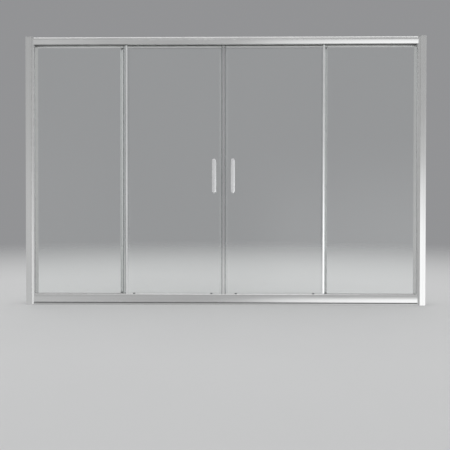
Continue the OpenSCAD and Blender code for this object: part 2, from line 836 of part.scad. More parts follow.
// Return spring: one unbroken tube of six sides along a helix
module guide_spring(side, k) {
    steps = 8;
    ring_n = 6;
    last = spring_turns * steps;
    coil_r = spring_r - wire_r;
    low = spring_low + wire_r;
    rise = spring_top - spring_low - 2 * wire_r;
    points = [
        for (i = [0 : last], j = [0 : ring_n - 1])
            let (a = 360 * i / steps, b = 360 * j / ring_n + 90)
            [(coil_r + wire_r * cos(b)) * cos(a), (coil_r + wire_r * cos(b)) * sin(a),
             low + rise * i / last + wire_r * sin(b)]
    ];
    walls = [
        for (i = [0 : last - 1], j = [0 : ring_n - 1])
            let (a = i * ring_n + j, b = i * ring_n + (j + 1) % ring_n)
            each [[a, b, b + ring_n], [a, b + ring_n, a + ring_n]]
    ];
    first_end = [for (j = [1 : ring_n - 2]) [0, j + 1, j]];
    last_end = [for (j = [1 : ring_n - 2]) [last * ring_n, last * ring_n + j, last * ring_n + j + 1]];
    color([0.7, 0.7, 0.72]) at_door(side) translate([guide_us[k], wheel_y, 0])
        polyhedron(points, concat(walls, first_end, last_end));
}

// Fasteners of the frame
module corner_screws() {
    seat = jamb_in + wall_t;
    color([0.6, 0.6, 0.62]) for (side = [left, right]) at_side(side) for (p = ports) {
        rod_x(screw_r, jamb_in - screw_in, seat + over, p[0], p[1]);
        rod_x(head_r, seat, seat + head_h, p[0], p[1]);
    }
}

module clamp_screws() {
    color([0.6, 0.6, 0.62]) for (side = [left, right], k = post_zs) at_side(side) {
        z = screen_h / 2 + k * clamp_pitch;
        rod_y(screw_r, rail_back - wall_t - clamp_in, post_back + over, clamp_x, z);
        rod_y(head_r, post_back, post_back + head_h, clamp_x, z);
    }
}

module screw_covers() {
    color([0.8, 0.8, 0.8]) for (side = [left, right], k = post_zs) at_side(side) difference() {
        z = screen_h / 2 + k * clamp_pitch;
        rod_y(cover_r, post_back, post_back + cover_h, clamp_x, z);
        rod_y(head_r + cover_gap, post_back - over, post_back + head_h + cover_gap, clamp_x, z);
    }
}

wall_profile(left);  // wall_profile_left
wall_profile(right);  // wall_profile_right
side_profile(left);  // side_profile_left
side_profile(right);  // side_profile_right
top_rail();
bottom_rail();
fixed_glass(left);  // fixed_glass_left
fixed_glass(right);  // fixed_glass_right
glass_gasket(left);  // glass_gasket_left
glass_gasket(right);  // glass_gasket_right
fixed_edge_seal(left);  // fixed_edge_seal_left
fixed_edge_seal(right);  // fixed_edge_seal_right
post_caps();
corner_screws();
clamp_screws();
screw_covers();
door_bumpers();
door_glass(left);  // door_glass_left
door_glass(right);  // door_glass_right
door_edge_seal(left);  // door_edge_seal_left
door_edge_seal(right);  // door_edge_seal_right
magnet_seal(left);  // magnet_seal_left
magnet_seal(right);  // magnet_seal_right
magnet_strip(left);  // magnet_strip_left
magnet_strip(right);  // magnet_strip_right
outer_handle(left);  // outer_handle_left
outer_handle(right);  // outer_handle_right
inner_handle(left);  // inner_handle_left
inner_handle(right);  // inner_handle_right
handle_studs(left);  // handle_studs_left
handle_studs(right);  // handle_studs_right
handle_washers(left);  // handle_washers_left
handle_washers(right);  // handle_washers_right
roller_bushes(left);  // roller_bushes_left
roller_bushes(right);  // roller_bushes_right
roller_spacers(left);  // roller_spacers_left
roller_spacers(right);  // roller_spacers_right
axle_screws(left);  // axle_screws_left
axle_screws(right);  // axle_screws_right
guide_housings(left);  // guide_housings_left
guide_housings(right);  // guide_housings_right
guide_screws(left);  // guide_screws_left
guide_screws(right);  // guide_screws_right
wheel(left, 1);  // wheel_left_outer
wheel(left, 0);  // wheel_left_inner
wheel(right, 0);  // wheel_right_inner
wheel(right, 1);  // wheel_right_outer
bearing(left, 1);  // bearing_left_outer
bearing(left, 0);  // bearing_left_inner
bearing(right, 0);  // bearing_right_inner
bearing(right, 1);  // bearing_right_outer
guide_slider(left, 1);  // guide_slider_left_outer
guide_slider(left, 0);  // guide_slider_left_inner
guide_slider(right, 0);  // guide_slider_right_inner
guide_slider(right, 1);  // guide_slider_right_outer
guide_spring(left, 1);  // guide_spring_left_outer
guide_spring(left, 0);  // guide_spring_left_inner
guide_spring(right, 0);  // guide_spring_right_inner
guide_spring(right, 1);  // guide_spring_right_outer
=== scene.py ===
"""Sliding bath screen: finishes, handles, fittings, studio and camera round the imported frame."""

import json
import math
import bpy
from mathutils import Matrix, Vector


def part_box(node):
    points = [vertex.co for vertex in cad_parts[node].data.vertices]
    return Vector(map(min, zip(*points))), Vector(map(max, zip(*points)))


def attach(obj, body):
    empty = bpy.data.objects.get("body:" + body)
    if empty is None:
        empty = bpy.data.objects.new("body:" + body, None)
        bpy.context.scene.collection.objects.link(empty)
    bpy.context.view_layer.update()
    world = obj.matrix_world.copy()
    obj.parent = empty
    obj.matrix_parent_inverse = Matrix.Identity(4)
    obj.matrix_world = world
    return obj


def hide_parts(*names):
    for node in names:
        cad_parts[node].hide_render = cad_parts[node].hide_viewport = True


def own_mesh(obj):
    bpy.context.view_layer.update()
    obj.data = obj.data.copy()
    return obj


bl_info = {
    "name": "Sliding Bath Screen",
    "version": (1, 0, 0),
    "blender": (4, 5, 0),
    "location": "View3D > Sidebar > Bath Screen",
    "description": "Finishes, handles and fittings of a framed bath screen with two sliding doors",
    "category": "Add Mesh",
}

import bmesh
import bpy
from bpy.props import FloatProperty, FloatVectorProperty, IntProperty, PointerProperty
from mathutils import Euler, Matrix, Vector
from mathutils.geometry import convex_hull_2d

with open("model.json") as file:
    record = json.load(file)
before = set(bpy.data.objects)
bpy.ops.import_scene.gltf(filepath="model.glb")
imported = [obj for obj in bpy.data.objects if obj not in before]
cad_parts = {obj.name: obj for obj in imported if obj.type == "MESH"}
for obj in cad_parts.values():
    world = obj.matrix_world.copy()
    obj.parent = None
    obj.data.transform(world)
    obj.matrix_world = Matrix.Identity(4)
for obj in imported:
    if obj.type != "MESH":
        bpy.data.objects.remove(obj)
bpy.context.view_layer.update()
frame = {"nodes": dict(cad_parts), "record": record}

SIDES = ("left", "right")
ENDS = ("inner", "outer")
MM = 0.001
WELD = 0.001 * MM  # points this close become one
NEAR = 0.01 * MM  # faces this close count as level

HANDLE_LOW, HANDLE_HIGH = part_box("outer_handle_left")
SCREW_LOW, SCREW_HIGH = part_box("guide_screws_left")


def mid(node):
    """Middle of a node's box at rest."""
    low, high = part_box(node)
    return (low + high) / 2


# Sizes and colours that a user would change


def colour_prop(name, description, default):
    return FloatVectorProperty(name=name, description=description, default=default, subtype="COLOR",
                               size=3, min=0, max=1)


def share_prop(name, description, default):
    return FloatProperty(name=name, description=description, default=default, subtype="FACTOR",
                         min=0, max=1)


def length_prop(name, description, default, least=0.0):
    return FloatProperty(name=name, description=description, default=default, unit="LENGTH",
                         min=least)


class FinishColours(bpy.types.PropertyGroup):
    """Colours and gloss of the screen's own materials"""

    aluminium: colour_prop("Aluminium", "Bright anodised rails and profiles", (0.63, 0.63, 0.625))
    aluminium_roughness: share_prop("Aluminium roughness", "Blur of what the aluminium mirrors",
                                    0.17)
    chrome: colour_prop("Chrome", "Plated handles and bushes", (0.82, 0.82, 0.825))
    steel: colour_prop("Steel", "Screws, studs and bearings", (0.5, 0.5, 0.51))
    glass: colour_prop("Glass", "Tint of the glass seen from the front", (0.965, 0.978, 0.972))
    glass_edge: colour_prop("Glass edge", "Ground edge of the glass", (0.1, 0.15, 0.14))
    seal: colour_prop("Seal", "Clear flexible seals", (0.92, 0.925, 0.925))
    fin_body: share_prop("Fin body", "How much the fin of an edge seal hides", 0.93)
    magnet_cover: share_prop("Magnet cover", "How much a magnetic seal hides its magnet", 0.12)
    gasket: colour_prop("Gasket", "Glazing gasket along the rails", (0.34, 0.34, 0.34))
    magnet: colour_prop("Magnet", "Magnet strips in the meeting edges", (0.06, 0.055, 0.05))
    cap: colour_prop("Caps", "Post caps and screw covers", (0.52, 0.52, 0.52))
    nylon: colour_prop("Nylon", "Wheels, spacers, washers and guide housings", (0.8, 0.8, 0.78))
    slider: colour_prop("Sliders", "Release sliders of the lower guides", (0.14, 0.145, 0.155))
    bumper: colour_prop("Bumpers", "Rubber door stops", (0.035, 0.035, 0.035))


class HandleSizes(bpy.types.PropertyGroup):
    """Sizes of the bar handles"""

    width: length_prop("Width", "Width of a bar seen from the front",
                       HANDLE_HIGH.x - HANDLE_LOW.x, 0.005)
    length: length_prop("Length", "Length of a bar", HANDLE_HIGH.z - HANDLE_LOW.z, 0.02)
    thickness: length_prop("Thickness", "Front to back of a bar", 0.009, 0.002)
    edge: length_prop("Edge", "Radius along a bar's edges", 0.0022, 0.0002)
    crown: length_prop("Crown", "How far a bar's face swells towards its middle", 0.0002)
    post_radius: length_prop("Post radius", "Radius of the two posts", 0.006, 0.001)
    post_pitch: length_prop("Post pitch", "Distance between the two posts", 0.096, 0.01)
    post_fillet: length_prop("Post fillet", "Flare of a post where it meets the bar", 0.0012)


class FittingSizes(bpy.types.PropertyGroup):
    """Sizes of screws, covers, springs and softened edges"""

    screw_head: length_prop("Screw head", "Radius of a guide screw's head",
                            (SCREW_HIGH.z - SCREW_LOW.z) / 2, 0.001)
    screw_shank: length_prop("Screw shank", "Radius of a guide screw's shank", 0.0019, 0.0005)
    head_height: length_prop("Head height", "Height of a guide screw's head", 0.0022, 0.0005)
    recess_depth: length_prop("Recess depth", "Depth of the cross recess", 0.0012, 0.0002)
    cover_edge: length_prop("Cover edge", "Radius round the rim of a screw cover", 0.0014, 0.0002)
    rail_edge: length_prop("Rail edge", "Radius on the corners of the rails and profiles",
                           0.00035, 0.00005)
    rail_edge_steps: IntProperty(name="Rail edge steps", min=1, max=8, default=3,
                                 description="Facets round each corner of a rail")
    moulding_edge: length_prop("Moulding edge", "Radius on the edges of caps and guide housings",
                               0.0006, 0.00005)
    spring_wire: length_prop("Spring wire", "Radius of the wire of a guide's return spring",
                             0.0004, 0.0001)
    spring_turns: FloatProperty(name="Spring turns", min=2, max=8, default=5,
                                description="Turns in a guide's return spring")
    spring_travel: length_prop("Spring travel", "How far a slider lifts against its spring", 0.006)
    turn_seed: IntProperty(name="Turn seed", min=0, default=7,
                           description="Seed for how far each screw is turned")


class StudioSettings(bpy.types.PropertyGroup):
    """Floor, light and camera"""

    surround: colour_prop("Surround", "Studio in front of the screen", (0.6, 0.605, 0.61))
    backdrop: colour_prop("Backdrop", "Studio seen behind the screen", (0.29, 0.292, 0.3))
    floor: colour_prop("Floor", "Colour of the floor", (0.66, 0.66, 0.66))
    floor_radius: length_prop("Floor radius", "Where the floor has faded away", 7.0, 1.0)
    ceiling_power: FloatProperty(name="Ceiling power", unit="POWER", min=0, default=47.0,
                                 description="Power of the soft light overhead")
    ceiling_height: length_prop("Ceiling height", "Height of the soft light overhead", 3.0)
    window_strength: FloatProperty(
        name="Window strength", description="How much brighter mirrors find the right-hand side",
        min=0, default=1.6)
    fill_strength: FloatProperty(
        name="Fill strength", description="How much brighter mirrors find the left-hand side",
        min=0, default=0.25)
    camera_place: FloatVectorProperty(
        name="Camera place", description="Where the camera stands", subtype="TRANSLATION",
        unit="LENGTH", size=3, default=(0.0227, -1.982, 0.3577))
    camera_turn: FloatVectorProperty(
        name="Camera turn", description="Pitch, roll and yaw away from straight along +Y",
        subtype="EULER", unit="ROTATION", size=3,
        default=(math.radians(-0.506), math.radians(-0.06), math.radians(0.645)))
    focal_ratio: FloatProperty(
        name="Focal ratio", description="Focal length divided by the width of the picture",
        min=0.2, default=459 / 450)


# Shader building


def new_node(tree, kind, settings, inputs):
    """Adds a node to a tree, sets it up, and then joins or fills its inputs."""
    node = tree.nodes.new(kind)
    for name, value in settings.items():
        setattr(node, name, value)
    for name, value in inputs.items():
        if isinstance(value, bpy.types.NodeSocket):
            tree.links.new(value, node.inputs[name])
        else:
            node.inputs[name].default_value = value
    return node


class Sock:
    """A shader socket that takes part in Python arithmetic."""

    def __init__(self, finish, socket):
        self.finish, self.socket = finish, socket

    def math(self, operation, first, second=0.0):
        return self.finish.add("ShaderNodeMath", {0: first, 1: second}, operation=operation)

    def __add__(self, other):
        return self.math("ADD", self, other)

    def __sub__(self, other):
        return self.math("SUBTRACT", self, other)

    def __rsub__(self, other):
        return self.math("SUBTRACT", other, self)

    def __mul__(self, other):
        return self.math("MULTIPLY", self, other)

    __radd__ = __add__
    __rmul__ = __mul__

    def least(self, other):
        return self.math("MINIMUM", self, other)

    def most(self, other):
        return self.math("MAXIMUM", self, other)

    def output(self, name):
        return Sock(self.finish, self.socket.node.outputs[name])


class Finish:
    """The nodes of one material, or of the studio's surround."""

    def __init__(self, owner):
        self.owner = owner
        owner.use_nodes = True
        self.tree = owner.node_tree
        self.tree.nodes.clear()

    def add(self, kind, inputs=None, output=0, **settings):
        """Adds a node, with its settings and the values or links of its inputs; gives an output."""
        joined = {name: value.socket if isinstance(value, Sock) else value
                  for name, value in (inputs or {}).items()}
        node = new_node(self.tree, kind, settings, joined)
        return Sock(self, node.outputs[output]) if node.outputs else None

    def place(self, scale=(1, 1, 1), offset=(0, 0, 0)):
        """Object coordinates in metres, scaled per axis."""
        coordinates = self.add("ShaderNodeTexCoord").output("Object")
        return self.add("ShaderNodeMapping", {
            "Vector": coordinates, "Scale": scale, "Location": offset,
        })

    def noise(self, scale, detail=3.0, stretch=(1, 1, 1), offset=(0, 0, 0)):
        return self.add("ShaderNodeTexNoise", {
            "Vector": self.place(stretch, offset), "Scale": scale, "Detail": detail,
            "Roughness": 0.55,
        })

    def spread(self, value, low, high, new_low=0.0, new_high=1.0, smooth=False):
        """Maps low..high onto new_low..new_high, clamped."""
        return self.add("ShaderNodeMapRange", {
            "Value": value, "From Min": low, "From Max": high, "To Min": new_low,
            "To Max": new_high,
        }, interpolation_type="SMOOTHSTEP" if smooth else "LINEAR", clamp=True)

    def vary(self, noise, least=0.0, most=1.0, spared=0.3):
        """Stretches the middle of a noise's range over least..most and spares its ends."""
        return self.spread(noise, spared, 1.0 - spared, least, most)

    def between(self, value, low, high, blur):
        """1 from low to high, fading to 0 over the blur beyond them."""
        return self.spread(value, low - blur, low) * self.spread(value, high + blur, high)

    def blend(self, factor, first, second):
        """Mix of two colours."""
        first, second = (color if isinstance(color, Sock) else (*color, 1.0)
                         for color in (first, second))
        return self.add("ShaderNodeMix", {0: factor, 6: first, 7: second}, 2, data_type="RGBA")

    def axes(self):
        """Object coordinates as three sockets."""
        split = self.add("ShaderNodeSeparateXYZ", {0: self.place()})
        return split, split.output("Y"), split.output("Z")

    def edge_gap(self, run, lines):
        """Distance to the nearest of the edges that run along an axis through the given points."""
        flat = self.place(by_axis(run, 0.0, 1.0))
        nearest = None
        for line in lines:
            gap = self.add("ShaderNodeVectorMath", {0: flat, 1: line}, "Value",
                           operation="DISTANCE")
            nearest = gap if nearest is None else nearest.least(gap)
        return nearest

    def bump(self, height, distance, strength=1.0):
        return self.add("ShaderNodeBump", {
            "Height": height, "Distance": distance, "Strength": strength,
        })

    def principled(self, color, **inputs):
        names = {name.replace("_", " ").title().replace("Ior", "IOR"): value
                 for name, value in inputs.items()}
        if not isinstance(color, Sock):
            color = (*color, 1.0)
        return self.add("ShaderNodeBsdfPrincipled", {"Base Color": color, **names})

    def done(self, shader, output="ShaderNodeOutputMaterial"):
        self.add(output, {"Surface": shader})
        return self.owner


def by_axis(run, along, across):
    """One value per axis: along for the axis that a piece runs along, across for the others."""
    return tuple(along if axis == run else across for axis in "xyz")


def shade(color, factor):
    """A colour made darker or lighter, kept within 0 and 1."""
    return tuple(min(1.0, max(0.0, channel * factor)) for channel in color)


def colours():
    return bpy.context.scene.screen_finish


def new_finish(name):
    return Finish(bpy.data.materials.new(name))


def extruded_metal(name, color, roughness, run, edges, groove=None, channel=None):
    """Bright anodised extrusion: die lines along its run, soft patches and rubbed edges.

    A rail may have painted shade in the groove in its front and on the lip below it, both rougher
    there, or painted light inside its channel, which is rougher and less metallic there.
    """
    finish = new_finish(name)
    lines = finish.noise(1.0, 2.0, by_axis(run, 0.9, 420.0))
    bands = finish.noise(1.0, 3.0, by_axis(run, 0.5, 90.0), (3.1, 1.7, 0.4))
    patches = finish.noise(5.0, 3.0)
    specks = finish.noise(900.0, 1.0)
    tone = finish.vary(bands * 0.6 + patches * 0.4, spared=0.35)
    paint = finish.blend(tone, shade(color, 0.955), shade(color, 1.03))
    rub = finish.spread(finish.edge_gap(run, edges), 1.3 * MM, 0.3 * MM)
    rub = rub * finish.spread(finish.noise(60.0, 3.0), 0.42, 0.62)
    paint = finish.blend(rub * 0.5, paint, shade(color, 1.2))
    gloss = finish.vary(lines, -0.04, 0.05) + finish.vary(patches, -0.02, 0.04) + rub * 0.12
    metallic = 1.0
    if groove:
        front, low, high = groove
        depth, height = finish.axes()[1:]
        # painted shade: the groove in the rail's front is painted near black, as shade in the
        # recess, and made rougher
        painted_groove_shade = finish.spread(depth, front + 0.4 * MM, front + 1.2 * MM)
        painted_groove_shade = painted_groove_shade * finish.spread(depth, front + 4.5 * MM, front + 4.0 * MM)
        painted_groove_shade = painted_groove_shade * finish.between(height, low, high, 0.2 * MM)
        paint = finish.blend(painted_groove_shade * 0.8, paint, shade(color, 0.12))
        # painted shade: the lip below the groove is painted darker, a shaded band along the rail's
        # foot, and made rougher
        painted_lip_shade = finish.spread(height, low, low - 0.3 * MM)
        paint = finish.blend(painted_lip_shade * 0.9, paint, shade(color, 0.76))
        gloss = gloss + painted_groove_shade * 0.3 + painted_lip_shade * 0.28
    if channel:
        near, far, top = channel
        depth, height = finish.axes()[1:]
        # painted light: the inside of the channel is painted lighter to lift the shade in it, and
        # given less metal
        painted_channel_light = finish.between(depth, near, far, 0.3 * MM)
        painted_channel_light = painted_channel_light * finish.spread(height, top + 0.3 * MM, top)
        paint = finish.blend(painted_channel_light, paint, shade(color, 1.4))
        gloss = gloss + painted_channel_light * 0.25
        metallic = 1.0 - painted_channel_light * 0.8
    return finish.done(finish.principled(
        paint, metallic=metallic, roughness=gloss + roughness,
        normal=finish.bump(lines * 0.7 + specks * 0.3, 0.01 * MM, 0.5),
    ))


def plated_metal(name, color, roughness):
    """Chrome or zinc plate: faint smears and a trace of orange peel."""
    finish = new_finish(name)
    smears = finish.noise(38.0, 3.0, (1, 1, 0.35))
    peel = finish.noise(420.0, 2.0)
    return finish.done(finish.principled(
        finish.blend(smears, shade(color, 0.94), shade(color, 1.03)), metallic=1.0,
        roughness=finish.vary(smears, roughness * 0.6, roughness * 1.7),
        normal=finish.bump(peel, 0.02 * MM, 0.25),
    ))


def moulded(name, color, roughness):
    """Moulded plastic or rubber: uneven tone, fine grain and rubbed patches."""
    finish = new_finish(name)
    clouds = finish.noise(60.0, 4.0)
    pores = finish.noise(1400.0, 2.0)
    return finish.done(finish.principled(
        finish.blend(finish.vary(clouds), shade(color, 0.9), shade(color, 1.06)),
        roughness=finish.vary(clouds, roughness + 0.08, roughness - 0.08),
        normal=finish.bump(pores, 0.03 * MM, 0.6),
    ))


def gasket(name):
    """Glazing gasket: grey along the rails, which also stands for painted shade under them, and the
    pale seal colour down the side profiles, partly a painted highlight.
    """
    finish = new_finish(name)
    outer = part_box("glass_gasket_right")[1].x
    across = finish.axes()[0]
    upright = finish.spread(across.math("ABSOLUTE", across), outer - 17 * MM, outer - 16 * MM)
    clouds = finish.noise(60.0, 4.0)
    pores = finish.noise(1400.0, 2.0)
    # grey on the rails' runs is partly painted shade under the rails; pale on the uprights is
    # partly a painted highlight
    grey = finish.blend(clouds, shade(colours().gasket, 0.9), shade(colours().gasket, 1.08))
    pale = finish.blend(clouds, shade(colours().seal, 0.92), shade(colours().seal, 1.02))
    return finish.done(finish.principled(
        finish.blend(upright, grey, pale), roughness=finish.vary(clouds, 0.62, 0.45),
        normal=finish.bump(pores, 0.03 * MM, 0.6),
    ))


def glass(name, node):
    """Clear toughened glass with a darker ground edge along its two upright sides."""
    finish = new_finish(name)
    low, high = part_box(node)
    tint = tuple(colours().glass)
    edge_band = 1.9 * MM
    across = finish.axes()[0]
    inset = (across - low.x).least(high.x - across)
    facing = finish.add("ShaderNodeNewGeometry").output("Normal")
    sideways = finish.add("ShaderNodeVectorMath", {0: facing}, operation="ABSOLUTE")
    forward = finish.add("ShaderNodeSeparateXYZ", {0: sideways}).output("Y")
    edge = finish.spread(inset, edge_band * 0.7, edge_band, 1.0, 0.0, smooth=True)
    edge = edge.most(finish.spread(forward, 0.4, 0.6, 1.0, 0.0))
    film = finish.noise(3.0, 3.0, (1, 1, 0.4))
    clear = finish.principled(
        finish.blend(finish.vary(film, spared=0.35), shade(tint, 0.992), tint),
        roughness=0.0, ior=1.5, transmission_weight=1.0,
    )
    grit = finish.noise(700.0, 2.0)
    ground = finish.principled(
        finish.blend(grit, shade(colours().glass_edge, 0.8), shade(colours().glass_edge, 1.3)),
        roughness=finish.vary(grit, 0.2, 0.35), alpha=0.75,
    )
    body = finish.add("ShaderNodeMixShader", {0: edge, 1: clear, 2: ground})
    # lamps shine through the glass, so that it throws no solid shadow
    lamp = finish.add("ShaderNodeLightPath").output("Is Shadow Ray")
    open_air = finish.add("ShaderNodeBsdfTransparent", {"Color": (*shade(tint, 0.97), 1.0)})
    return finish.done(finish.add("ShaderNodeMixShader", {0: lamp, 1: body, 2: open_air}))


def clear_seal(name, glass_node, body):
    """Flexible seal: clear legs on the glass, and a milky fin beyond it with drawn lines."""
    finish = new_finish(name)
    low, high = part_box(glass_node)
    across = finish.axes()[0]
    beyond = (low.x - across).most(across - high.x)
    fin = finish.spread(beyond, -0.3 * MM, 0.3 * MM)
    drawn = finish.noise(1.0, 2.0, (900, 900, 1.2))
    clouds = finish.noise(9.0, 2.0, (1, 1, 0.5))
    milk = finish.vary(drawn * 0.6 + clouds * 0.4, body * 0.88, body * 1.1, 0.35)
    least = 0.03
    return finish.done(finish.principled(
        finish.blend(clouds, shade(colours().seal, 0.94), shade(colours().seal, 1.05)),
        roughness=finish.vary(clouds, 0.12, 0.24), alpha=fin * (milk - least) + least,
        metallic=fin * body, normal=finish.bump(drawn, 0.02 * MM, 0.4),
    ))


def matt_floor(name, color, radius):
    """Pale floor that fades away before its rim."""
    finish = new_finish(name)
    spot = finish.place()
    distance = finish.add("ShaderNodeVectorMath", {0: spot}, "Value", operation="LENGTH")
    fade = finish.spread(distance, radius * 0.18, radius * 0.95, smooth=True)
    dust = finish.noise(2.2, 3.0)
    paint = finish.principled(
        finish.blend(dust, shade(color, 0.985), shade(color, 1.015)), roughness=0.85,
        specular_ior_level=0.1,
    )
    open_air = finish.add("ShaderNodeBsdfTransparent")
    return finish.done(finish.add("ShaderNodeMixShader", {0: fade, 1: paint, 2: open_air}))


# Mesh building


def linked(name, data):
    """A new object in the scene."""
    item = bpy.data.objects.new(name, data)
    bpy.context.scene.collection.objects.link(item)
    return item


def put(name, mesh, material, node):
    """Links a finished mesh with its material as the piece that stands for a CAD node, on its body.
    """
    piece = linked(name, mesh)
    mesh.materials.clear()
    mesh.materials.append(material)
    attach(piece, body_of(node))
    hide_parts(node)
    return piece


def body_of(node):
    """Name of the body that a node rides on."""
    bodies = frame["record"]["behaviour"]["bodies"]
    return next(body for body, nodes in bodies.items() if node in nodes)


def paint(material, *nodes):
    """Gives CAD nodes a material."""
    for node in nodes:
        for slot in frame["nodes"][node].material_slots:
            slot.material = material


def both(*stems):
    return [f"{stem}_{side}" for stem in stems for side in SIDES]


def every_end(stem):
    return [f"{node}_{end}" for node in both(stem) for end in ENDS]


def merged(node):
    """A CAD node's shape with its loose triangles joined up."""
    bm = bmesh.new()
    bm.from_mesh(frame["nodes"][node].data)
    bmesh.ops.remove_doubles(bm, verts=bm.verts, dist=WELD)
    return bm


def mesh_from(name, bm):
    mesh = bpy.data.meshes.new(name)
    bm.to_mesh(mesh)
    bm.free()
    return mesh


def smooth_over(mesh, degrees=35):
    """Smooth shading that keeps edges sharper than the angle."""
    mesh.polygons.foreach_set("use_smooth", [True] * len(mesh.polygons))
    mesh.set_sharp_from_angle(angle=math.radians(degrees))
    mesh.update()


def softened(name, node, edge, material, steps=2):
    """Stands a copy of a CAD node with rounded edges in its place."""
    bm = merged(node)
    flat = math.radians(1)
    bmesh.ops.dissolve_limit(bm, angle_limit=flat, verts=bm.verts, edges=bm.edges)
    mesh = mesh_from(name, bm)
    piece = put(name, mesh, material, node)
    bevel = piece.modifiers.new("soft_edges", "BEVEL")
    bevel.width = edge
    bevel.segments = steps
    bevel.limit_method = "ANGLE"
    bevel.angle_limit = math.radians(40)
    bevel.harden_normals = False
    smooth_over(mesh)


def lifted_off(name, node, pane, material, gap=0.05 * MM):
    """Stands a copy of a clear seal in its place, a hair's breadth off the glass that it grips."""
    bm = merged(node)
    low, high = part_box(pane)
    for vert in bm.verts:
        for axis in (0, 1):
            if abs(vert.co[axis] - low[axis]) < NEAR:
                vert.co[axis] -= gap
            elif abs(vert.co[axis] - high[axis]) < NEAR:
                vert.co[axis] += gap
    put(name, mesh_from(name, bm), material, node)


def end_section(node, run):
    """Closed outlines of a node's far end across its run, each a list of (u, v, sharpness)."""
    axis = "xyz".index(run)
    u, v = [k for k in range(3) if k != axis]
    bm = merged(node)
    reach = max(vert.co[axis] for vert in bm.verts)
    cap = {face for face in bm.faces
           if all(abs(vert.co[axis] - reach) < NEAR for vert in face.verts)}
    rim = [edge for edge in bm.edges if sum(face in cap for face in edge.link_faces) == 1]
    links = {}
    for edge in rim:
        for vert in edge.verts:
            links.setdefault(vert, []).append(edge)
    loops, used = [], set()
    for start in rim:
        if start in used:
            continue
        loop, edge, vert = [], start, start.verts[0]
        while edge not in used:
            used.add(edge)
            vert = edge.other_vert(vert)
            loop.append(Vector((vert.co[u], vert.co[v])))
            edge = next((other for other in links[vert] if other not in used), edge)
        loops.append(loop)
    bm.free()
    return [with_corners(loop) for loop in loops]


def outer_edges(outlines, run):
    """Places in a section where its outermost corners run, as points for edge_gap."""
    corners = [Vector((u, v)) for outline in outlines for u, v, sharp in outline if sharp]
    hull = [corners[k] for k in convex_hull_2d(corners)]
    gap = "xyz".index(run)
    return [tuple(list(point)[:gap] + [0.0] + list(point)[gap:]) for point in hull]


def front_groove(outlines):
    """(front, low, high) of the groove in the front of a rail's section, if it has one."""
    front = min(y for outline in outlines for y, z, sharp in outline)
    heights = sorted(z for outline in outlines for y, z, sharp in outline if y - front < NEAR)
    return (front, heights[1], heights[2]) if len(heights) == 4 else None


def with_corners(loop, sharp_turn=25):
    """Drops points on straight runs and marks the corners to be rounded."""
    points = []
    for before, here, after in zip(loop[-1:] + loop[:-1], loop, loop[1:] + loop[:1]):
        turn = math.degrees((here - before).angle(after - here, 0.0))
        if turn > 0.5:
            points.append((here.x, here.y, 1.0 if turn > sharp_turn else 0.0))
    return points


def curve_from(name, outlines):
    """A flat curve object of closed outlines; each point's radius holds its sharpness."""
    data = bpy.data.curves.new(name, "CURVE")
    data.dimensions = "3D"
    for outline in outlines:
        spline = data.splines.new("POLY")
        spline.points.add(len(outline) - 1)
        for point, (u, v, sharp) in zip(spline.points, outline):
            point.co = (u, v, 0.0, 1.0)
            point.radius = sharp
        spline.use_cyclic_u = True
    return linked(name, data)


# Geometry Nodes


class Tree:
    """A Geometry Nodes tree under construction, with named inputs."""

    def __init__(self, name, inputs):
        self.group = bpy.data.node_groups.new(name, "GeometryNodeTree")
        face = self.group.interface
        face.new_socket("Geometry", in_out="INPUT", socket_type="NodeSocketGeometry")
        for title, kind in inputs.items():
            face.new_socket(title, in_out="INPUT", socket_type=f"NodeSocket{kind}")
        face.new_socket("Geometry", in_out="OUTPUT", socket_type="NodeSocketGeometry")
        self.given = self.group.nodes.new("NodeGroupInput")

    def ask(self, name):
        return self.given.outputs[name]

    def add(self, kind, inputs=None, output=0, **settings):
        return new_node(self.group, kind, settings, inputs or {}).outputs[output]

    def finish(self, geometry):
        """Ends the tree in Realize Instances and Set Material."""
        real = self.add("GeometryNodeRealizeInstances", {"Geometry": geometry})
        dressed = self.add("GeometryNodeSetMaterial",
                           {"Geometry": real, "Material": self.ask("Material")})
        out = self.group.nodes.new("NodeGroupOutput")
        self.group.links.new(dressed, out.inputs["Geometry"])
        return self.group

    def identifier(self, title):
        return next(item.identifier for item in self.group.interface.items_tree
                    if item.name == title and item.in_out == "INPUT")


def grown(holder, tree, values):
    """Runs a tree on an object and gives the result as a plain mesh; the object goes."""
    modifier = holder.modifiers.new(tree.group.name, "NODES")
    modifier.node_group = tree.group
    for title, value in values.items():
        modifier[tree.identifier(title)] = value
    graph = bpy.context.evaluated_depsgraph_get()
    mesh = bpy.data.meshes.new_from_object(holder.evaluated_get(graph), depsgraph=graph)
    holder.modifiers.remove(modifier)
    bpy.data.objects.remove(holder)
    return mesh


